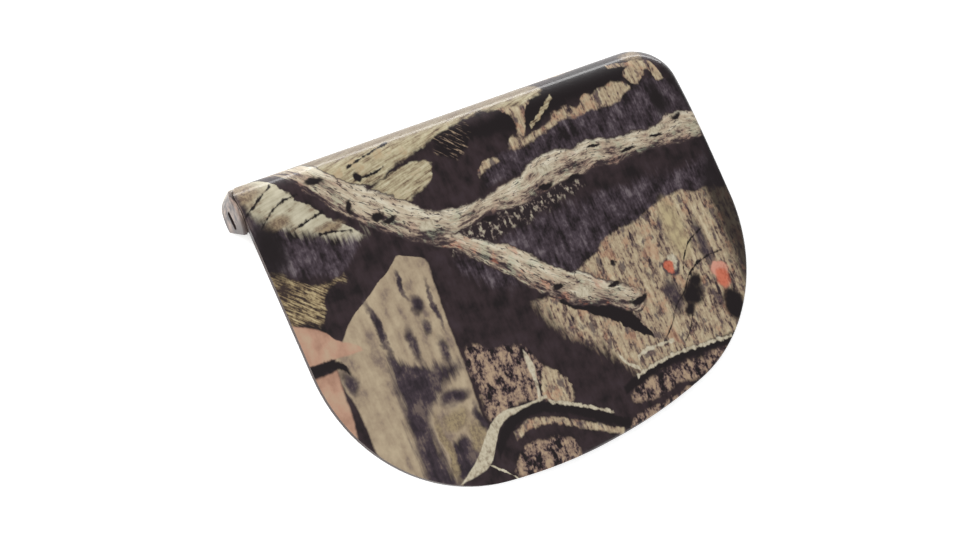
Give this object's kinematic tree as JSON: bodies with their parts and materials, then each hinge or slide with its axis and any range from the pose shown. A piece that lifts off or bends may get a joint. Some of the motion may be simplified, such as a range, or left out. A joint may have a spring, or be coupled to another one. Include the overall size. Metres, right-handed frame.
{
  "type": "grunt tube call",
  "caption": "Hand-held breath call: a short reed barrel along the rolled top edge of a glossy camouflage D-shaped hand shield, with a flat sound chamber behind it.",
  "frame": {"origin": "centre of the bottom of the part's box, as it lies on its flat back", "axes": "+X along the barrel, away from the mouthpiece; +Y from the round lower edge of the shield towards the barrel; +Z out of the front of the shield"},
  "size_m": [0.161, 0.1132, 0.017],
  "materials": {
    "camouflage_shell": "printed bark-and-branch camouflage film under glossy clear coat",
    "black_plastic": "fine moulded texture",
    "smoke_tube": "smoke-tinted polished tube",
    "black_rubber": "matt",
    "wedge_rubber": "matt cork-rubber",
    "screw_steel": "blackened",
    "insert_brass": "knurled, plain",
    "reed_film": "translucent film",
    "ring_steel": "dark nickel"
  },
  "bodies": {
    "call": {"shield_shell": "camouflage_shell", "rear_cover": "black_plastic", "chamber_gasket": "black_rubber", "rear_grip_pad": "black_rubber", "outlet_grille": "black_plastic", "horn_baffle": "black_plastic", "cover_screws": "screw_steel", "screw_inserts": "insert_brass", "barrel": "smoke_tube", "barrel_seal_rings": "black_rubber", "barrel_saddles": "black_plastic", "barrel_end_plug": "black_plastic", "end_plug_ring": "black_rubber", "reed_bushing": "smoke_tube", "tone_board": "smoke_tube", "reed_wedge": "wedge_rubber"},
    "mouthpiece": {"mouthpiece": "camouflage_shell", "mouthpiece_ring": "black_rubber"},
    "slider": {"slider_knob": "black_plastic", "slider_stem": "black_plastic", "slider_foot": "wedge_rubber"},
    "reed": {"reed": "reed_film"},
    "ring": {"lanyard_ring": "ring_steel"}
  },
  "joints": [
    {"name": "mouthpiece_pull", "type": "slide", "parent": "call", "child": "mouthpiece", "axis": [-1, 0, 0], "range_m": [0, 0.022]},
    {"name": "tone_slide", "type": "slide", "parent": "call", "child": "slider", "axis": [1, 0, 0], "range_m": [0, 0.012]},
    {"name": "reed_flex", "type": "hinge", "parent": "call", "child": "reed", "pos_m": [-0.0515, 0.0481, 0.00828], "axis": [0, -1, 0], "range_deg": [0, 1.8], "stiffness_Nm_per_rad": 0.002},
    {"name": "ring_swing", "type": "hinge", "parent": "call", "child": "ring", "pos_m": [0.0335, -0.0391, 0.0023], "axis": [1, 0, 0], "range_deg": [0, 100]}
  ]
}
